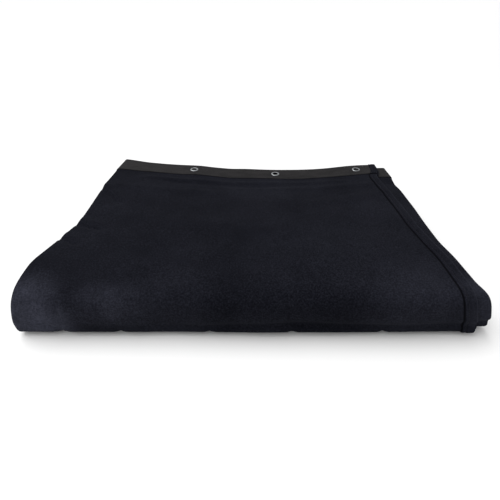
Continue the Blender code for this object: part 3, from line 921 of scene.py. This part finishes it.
def end_group(group, instances, material):
    """Realizes the instances, gives them their material and hands them out of the group."""
    real = add_node(group, "GeometryNodeRealizeInstances", {0: instances.outputs[0]})
    look = {"Geometry": real.outputs[0], "Material": material}
    add_node(group, "NodeGroupOutput", {0: add_node(group, "GeometryNodeSetMaterial", look).outputs[0]})


def build_stitching(group):
    """Small rounded stitches at an even pitch along every line of the mesh."""
    named_input(group, "Pitch", "NodeSocketFloat", STITCH_PITCH)
    named_input(group, "Stitch length", "NodeSocketFloat", STITCH_LENGTH)
    named_input(group, "Thread radius", "NodeSocketFloat", THREAD_RADIUS)
    named_input(group, "Thread", "NodeSocketMaterial")
    given = add_node(group, "NodeGroupInput").outputs
    curve = add_node(group, "GeometryNodeMeshToCurve", {0: given["Geometry"]}).outputs[0]
    spacing = {"Curve": curve, "Length": given["Pitch"]}
    dots = add_node(group, "GeometryNodeCurveToPoints", spacing, mode="LENGTH").outputs
    stitch = add_node(group, "GeometryNodeMeshUVSphere", {"Segments": 6, "Rings": 4, "Radius": 1.0})
    half = add_node(group, "ShaderNodeMath", {0: given["Stitch length"], 1: 0.5}, operation="MULTIPLY")
    radius = given["Thread radius"]
    size = add_node(group, "ShaderNodeCombineXYZ", {0: radius, 1: radius, 2: half.outputs[0]})
    inputs = {"Points": dots["Points"], "Instance": stitch.outputs[0]}
    inputs.update({"Rotation": dots["Rotation"], "Scale": size.outputs[0]})
    end_group(group, add_node(group, "GeometryNodeInstanceOnPoints", inputs), given["Thread"])


def build_fittings(group):
    """One fitting on every point, turned by the point's own rotation."""
    named_input(group, "Fitting", "NodeSocketObject")
    named_input(group, "Metal", "NodeSocketMaterial")
    given = add_node(group, "NodeGroupInput").outputs
    shape = add_node(group, "GeometryNodeObjectInfo", {"Object": given["Fitting"]})
    turn = add_node(group, "GeometryNodeInputNamedAttribute", {"Name": "turn"}, data_type="FLOAT_VECTOR")
    rotation = add_node(group, "FunctionNodeEulerToRotation", {0: turn.outputs["Attribute"]})
    inputs = {"Points": given["Geometry"], "Instance": shape.outputs["Geometry"]}
    inputs["Rotation"] = rotation.outputs[0]
    end_group(group, add_node(group, "GeometryNodeInstanceOnPoints", inputs), given["Metal"])


def realized(name, mesh, group, material, **inputs):
    """Runs a node group over a guide mesh and keeps the plain mesh that it makes."""
    guide = placed(name + "_guide", mesh)
    modifier = guide.modifiers.new("repeat", "NODES")
    modifier.node_group = group
    for item in group.interface.items_tree:
        key = item.name.replace(" ", "_")
        if item.in_out == "INPUT" and key in inputs:
            modifier[item.identifier] = inputs[key]
    bpy.context.view_layer.update()
    graph = bpy.context.evaluated_depsgraph_get()
    plain = bpy.data.meshes.new_from_object(guide.evaluated_get(graph))
    bpy.data.objects.remove(guide)
    plain.name = name
    plain.materials.clear()
    plain.materials.append(material)
    plain.shade_smooth()
    return placed(name, plain)


def stitching(name, rows, group, material):
    """Stitches along rows of points."""
    points, edges = [], []
    for row in rows:
        first = len(points)
        points += [tuple(p) for p in row]
        edges += [(first + i, first + i + 1) for i in range(len(row) - 1)]
    mesh = bpy.data.meshes.new(name + "_guide")
    mesh.from_pydata(points, edges, [])
    return realized(name, mesh, group, material, Thread=material)


def ring_prototype(name, outline, segments):
    """Ring spun about Z from a closed outline of (radius, height)."""
    shape = bmesh.new()
    verts = [shape.verts.new((radius, 0, height)) for radius, height in outline]
    edges = [shape.edges.new((verts[i - 1], verts[i])) for i in range(len(verts))]
    bmesh.ops.spin(
        shape, geom=verts + edges, cent=(0, 0, 0), axis=(0, 0, 1), dvec=(0, 0, 0),
        angle=2 * math.pi, steps=segments, use_duplicate=False,
    )
    bmesh.ops.remove_doubles(shape, verts=shape.verts, dist=1e-6)
    bmesh.ops.recalc_face_normals(shape, faces=shape.faces)
    mesh = bpy.data.meshes.new(name)
    shape.to_mesh(mesh)
    shape.free()
    inside = mesh.attributes.new("inside", "FLOAT", "POINT")
    near_axis = [math.hypot(v.co.x, v.co.y) < FLARE_INSIDE for v in mesh.vertices]
    inside.data.foreach_set("value", [1.0 if near else 0.0 for near in near_axis])
    return placed(name, mesh)


def eyelet_outline():
    """Rolled eyelet: domed flange, barrel through the cloth, clenched under the washer."""
    top = CLOTH / 2 + TAPE + 0.0002
    outline = [(EYELET_HOLE, -CLOTH / 2 - 0.0007)]
    outline += [(EYELET_HOLE, top + 0.0002)]
    for angle in (150, 120, 90, 60, 30, 0):
        turn = math.radians(angle)
        outline.append((0.0078 + 0.0020 * math.cos(turn), top + 0.0010 * math.sin(turn)))
    outline += [(0.0092, top), (EYELET_HOLE + SHEET_METAL, top - 0.0001)]
    outline += [(EYELET_HOLE + SHEET_METAL, -CLOTH / 2 - 0.0005), (0.0066, -CLOTH / 2 - 0.0007)]
    outline += [(0.0064, -CLOTH / 2 - 0.0012)]
    return outline


def washer_outline():
    low = -CLOTH / 2 - 0.0001
    inner = EYELET_HOLE + SHEET_METAL + 0.0003
    outline = [(inner, low), (WASHER_RIM - 0.0003, low), (WASHER_RIM, low - 0.0002)]
    outline += [(WASHER_RIM - 0.0003, low - 0.0004), (0.0077, low - 0.0007), (inner, low - 0.0004)]
    return outline


def fittings(name, prototype, spots, group, material):
    mesh = bpy.data.meshes.new(name + "_guide")
    mesh.from_pydata([tuple(spot) for spot, _ in spots], [], [])
    turn = mesh.attributes.new("turn", "FLOAT_VECTOR", "POINT")
    turn.data.foreach_set("vector", np.array([tuple(angles) for _, angles in spots]).ravel())
    return realized(name, mesh, group, material, Fitting=prototype, Metal=material)


PROBE = 0.004


def eyelet_spots(path, y):
    """Place and turn of every eyelet: its own Z looks along the way out of the cloth's face."""
    spots = []
    for k in range(EYELETS):
        run = EYELET_EDGE + EYELET_PITCH * k
        columns = section_at(path, [run - PROBE, run, run + PROBE])
        stations = upper_leaf(1, y + PROBE, y - PROBE, 3, True, 0.0)
        grid = lay(columns, stations, 0.0)
        up = lay(columns, stations, 0.001)[1, 1] - grid[1, 1]
        across = grid[1, 2] - grid[1, 0]
        ahead = grid[2, 1] - grid[0, 1]
        normal = Vector(np.cross(across, ahead))
        if normal.dot(Vector(up)) < 0:
            normal.negate()
        turn = normal.to_track_quat("Z", "Y").to_euler()
        spots.append((Vector(grid[1, 1]), turn))
    return spots


def punched(obj, spots):
    """Cuts a round hole for every eyelet."""
    shape = bmesh.new()
    for spot, turn in spots:
        centre = Matrix.Translation((0, 0, (PUNCH_FROM + PUNCH_TO) / 2))
        matrix = Matrix.Translation(spot) @ turn.to_matrix().to_4x4() @ centre
        bmesh.ops.create_cone(
            shape, cap_ends=True, segments=HOLE_STEPS, radius1=HOLE_IN_CLOTH, radius2=HOLE_IN_CLOTH,
            depth=PUNCH_TO - PUNCH_FROM, matrix=matrix,
        )
    mesh = bpy.data.meshes.new("punch")
    shape.to_mesh(mesh)
    shape.free()
    punch = placed("punch", mesh)
    cut = obj.modifiers.new("holes", "BOOLEAN")
    cut.object, cut.operation, cut.solver = punch, "DIFFERENCE", "EXACT"
    graph = bpy.context.evaluated_depsgraph_get()
    plain = bpy.data.meshes.new_from_object(obj.evaluated_get(graph))
    obj.modifiers.clear()
    obj.data = plain
    bpy.data.objects.remove(punch)


# --- the drape ---


def main():
    cotton = brushed_cotton("brushed_cotton", COTTON_DARK, COTTON_PALE)
    hem_cotton = brushed_cotton("hem_cotton", COTTON_DARK, HEM_PALE, paint_seam_shade=False)
    webbing = ribbed_webbing()
    thread = polyester_thread()
    metal = nickel_plate("nickel_plate", PLATE_DARK, PLATE_PALE)
    # Painted shade: dark plate for the washers seen in shade through the eyelet holes
    shaded_washer_metal = nickel_plate("dull_washer_plate", WASHER_DARK, WASHER_PALE)
    rear, front, wrap = pack_runs()
    inner = inner_stations(wrap[-1].length)
    fine = drape_path(150, 24)
    coarse = drape_path(30, 16)
    cloth_rear = lay_cloth("drape_leaf_rear", fine, rear, cotton)
    cloth_front = lay_cloth("drape_leaf_front", fine, front, cotton)
    cloth_wrap = lay_cloth("drape_wrap", fine, wrap, cotton)
    cloth_inner = lay_cloth("drape_inner_folds", coarse, inner, cotton)

    over_tape = CLOTH / 2 + SKIN
    tape_runs = section_runs(fine, TAPE_INSET, DRAPE_WIDTH - TAPE_INSET)
    tape_stations = upper_leaf(1, BACK_Y - 2 * SKIN, HEADER_Y, 9, True, 0.0)
    tape = lay_strip("header_webbing", fine, tape_stations, tape_runs, over_tape, over_tape + TAPE, webbing)
    spots = eyelet_spots(fine, EYELET_Y)
    punched(tape, spots)
    punched(cloth_rear, spots)

    below_tape = [station for station in rear if station.length > BACK_Y - HEADER_Y + 0.001]
    header_rise, half_rise = HEM_RISE + TAPE, HEM_RISE / 2
    hem_lengths = (
        # key, piece, path, stations, rise over the cloth, depth under it, along the far edge
        ("header_a", "side_hem_a_over_tape", fine, tape_stations, header_rise, HEADER_HEM_UNDER, False),
        ("header_b", "side_hem_b_over_tape", fine, tape_stations, header_rise, HEADER_HEM_UNDER, True),
        ("rear_a", "side_hem_a_rear_turned", fine, below_tape, HEM_RISE, HEM_UNDER, False),
        ("rear_b", "side_hem_b_rear_turned", fine, below_tape, half_rise, HEM_UNDER, True),
        ("front_a", "side_hem_a_front_turned", fine, front, HEM_RISE, HEM_UNDER, False),
        ("front_b", "side_hem_b_front_turned", fine, front, half_rise, HEM_UNDER, True),
        ("wrap_a", "side_hem_a_wrap_turned", fine, wrap, half_rise, HEM_UNDER, False),
        ("inner_a", "side_hem_a_inner_turned", coarse, inner, HEM_RISE / 3, INNER_HEM_UNDER, False),
    )
    hems = {}
    for key, name, path, stations, rise, under, far_edge in hem_lengths:
        hems[key] = lay_hem(name, path, stations, rise, under, hem_cotton, far_edge)

    bottom_end, bottom_start = BOTTOM_HEM_Y + BOTTOM_HEM_DEPTH, inner[-1].length - BOTTOM_HEM_DEPTH
    bottom = upper_leaf(2, BOTTOM_HEM_Y, bottom_end, 6, False, bottom_start)
    bottom_runs = section_runs(coarse, COLUMN_GAP, DRAPE_WIDTH - COLUMN_GAP)
    under = -CLOTH / 2 - SKIN
    hems["bottom"] = lay_strip(
        "bottom_hem_turned", coarse, bottom, bottom_runs, under - BOTTOM_HEM_THICK, under, hem_cotton
    )

    stitch_group = repeat_group("stitching", build_stitching)
    tape_top = over_tape + TAPE
    rise = CLOTH / 2 + HEM_RISE - THREAD_SINK
    rows = {}
    rows["header"] = [
        row_across(fine, HEADER_Y + TAPE_SEAM, tape_runs, tape_top),
        row_across(fine, BACK_Y - TAPE_SEAM, tape_runs, tape_top),
        row_along(fine, tape_stations, tape_top + HEM_RISE - THREAD_SINK - SKIN),
    ]
    rows["rear"] = [row_along(fine, below_tape, rise)]
    rows["front"] = [row_along(fine, front, rise)]
    rows["wrap"] = [row_along(fine, wrap, CLOTH / 2 + HEM_RISE / 2 - THREAD_SINK)]
    threads = {key: stitching("stitches_" + key, row, stitch_group, thread) for key, row in rows.items()}

    fitting_group = repeat_group("fittings", build_fittings)
    ring = ring_prototype("ring", eyelet_outline(), RING_STEPS)
    disc = ring_prototype("disc", washer_outline(), WASHER_STEPS)
    eyelets = fittings("eyelet_rings", ring, spots, fitting_group, metal)
    washers = fittings("eyelet_washers", disc, spots, fitting_group, shaded_washer_metal)
    bpy.data.objects.remove(ring)
    bpy.data.objects.remove(disc)
    for obj in (eyelets, washers):
        obj.data.set_sharp_from_angle(angle=SHARP_ANGLE)

    on_stack = [cloth_wrap, cloth_inner, hems["wrap_a"], hems["inner_a"], hems["bottom"], threads["wrap"]]
    on_front = [cloth_front, hems["front_a"], hems["front_b"], threads["front"]]
    on_rear = [cloth_rear, hems["rear_a"], hems["rear_b"], threads["rear"]]
    on_header = [tape, hems["header_a"], hems["header_b"], threads["header"], eyelets, washers]
    for obj in on_stack:
        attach(obj, "stack")
    for obj in on_header:
        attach(obj, "leaf_rear")
    for obj in on_front:
        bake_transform(obj)
    for obj in on_rear:
        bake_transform(obj)

    nodes = list(frame["nodes"])
    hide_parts("cloth_leaf_rear", "top_edge_cloth")
    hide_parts("cloth_leaf_front")
    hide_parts("cloth_front_fold_1", "cloth_back_fold_outer")
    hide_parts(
        "cloth_front_fold_2", "cloth_front_fold_3", "cloth_front_fold_4",
        "cloth_back_fold_upper", "cloth_back_fold_inner",
    )
    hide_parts("bottom_hem")
    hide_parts("side_hem_a_header")
    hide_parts("side_hem_b_header")
    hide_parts("side_hem_a_rear")
    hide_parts("side_hem_b_rear")
    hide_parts("side_hem_a_front")
    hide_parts("side_hem_b_front")
    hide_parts("side_hem_a_fold_1", "side_hem_b_fold_1")
    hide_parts("side_hem_a_fold_2", "side_hem_a_fold_3", "side_hem_a_fold_4")
    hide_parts("header_tape")
    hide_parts(*[n for n in nodes if n.startswith("eyelet_") and "washer" not in n])
    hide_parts(*[n for n in nodes if n.startswith("eyelet_washer_")])


def section_runs(path, start, end):
    """The path's own lengths between two ends, with the ends themselves."""
    inside = path[7][(path[7] > start + 0.0005) & (path[7] < end - 0.0005)]
    return np.concatenate([[start], inside, [end]])


def row_along(path, stations, rise):
    """A row of stitches down the drape, along the first side hem."""
    return lay(section_at(path, [STITCH_FROM_EDGE]), stations, rise)[:, 0]


def row_across(path, y, runs, rise):
    """A row of stitches across the drape, along the header."""
    return lay(section_at(path, runs), upper_leaf(1, y, y, 1, True, 0.0), rise)[0]


FLOOR_REACH, FLOOR_DROP = 40, 0.0002
FLOOR_COLOUR = (0.74, 0.74, 0.74, 1)
WORLD_STRENGTH = 0.80
SUN_STRENGTH, SUN_ANGLE, SUN_SPOT = 1.95, 0.75, (-0.80, 0.45, 2.0)
KEY_POWER, KEY_SIZE, KEY_SPOT = 9, 1.2, (-1.0, -0.6, 1.4)
CAMERA_LENS, CAMERA_DOWN, CAMERA_BEFORE, CAMERA_HEIGHT = 25.2, 37.4, 0.353, 0.434


def set_stage():
    floor_mesh = bpy.data.meshes.new("floor")
    reach = FLOOR_REACH
    corners = [(-reach, -reach, 0), (reach, -reach, 0), (reach, reach, 0), (-reach, reach, 0)]
    floor_mesh.from_pydata(corners, [], [(0, 1, 2, 3)])
    floor = placed("floor", floor_mesh)
    look = Nodes("pale_floor")
    look.set(Base_Color=FLOOR_COLOUR, Roughness=0.95, Specular_IOR_Level=0.1)
    floor_mesh.materials.append(look.material)
    floor.location.z = -FLOOR_DROP
    world = bpy.data.worlds.new("studio")
    world.use_nodes = True
    world.node_tree.nodes["Background"].inputs[0].default_value = (1, 1, 1, 1)
    world.node_tree.nodes["Background"].inputs[1].default_value = WORLD_STRENGTH
    bpy.context.scene.world = world
    bpy.context.scene.view_settings.view_transform = "Standard"
    overhead = bpy.data.lights.new("overhead", "SUN")
    overhead.energy, overhead.angle = SUN_STRENGTH, SUN_ANGLE
    add_lamp("overhead", overhead, SUN_SPOT)
    key = bpy.data.lights.new("key", "AREA")
    key.energy, key.size = KEY_POWER, KEY_SIZE
    add_lamp("key", key, KEY_SPOT)


def add_lamp(name, light, spot):
    """A lamp that looks at the middle of the floor."""
    lamp = placed(name, light)
    lamp.location = spot
    lamp.rotation_euler = (-Vector(spot)).to_track_quat("-Z", "Y").to_euler()


def set_camera():
    camera = placed("camera", bpy.data.cameras.new("camera"))
    camera.data.lens = CAMERA_LENS
    camera.location = (0.0, LOW.y - CAMERA_BEFORE, CAMERA_HEIGHT)
    camera.rotation_euler = (math.radians(90 - CAMERA_DOWN), 0, 0)
    camera.data.clip_start = 0.01
    bpy.context.scene.camera = camera


main()
set_stage()
set_camera()
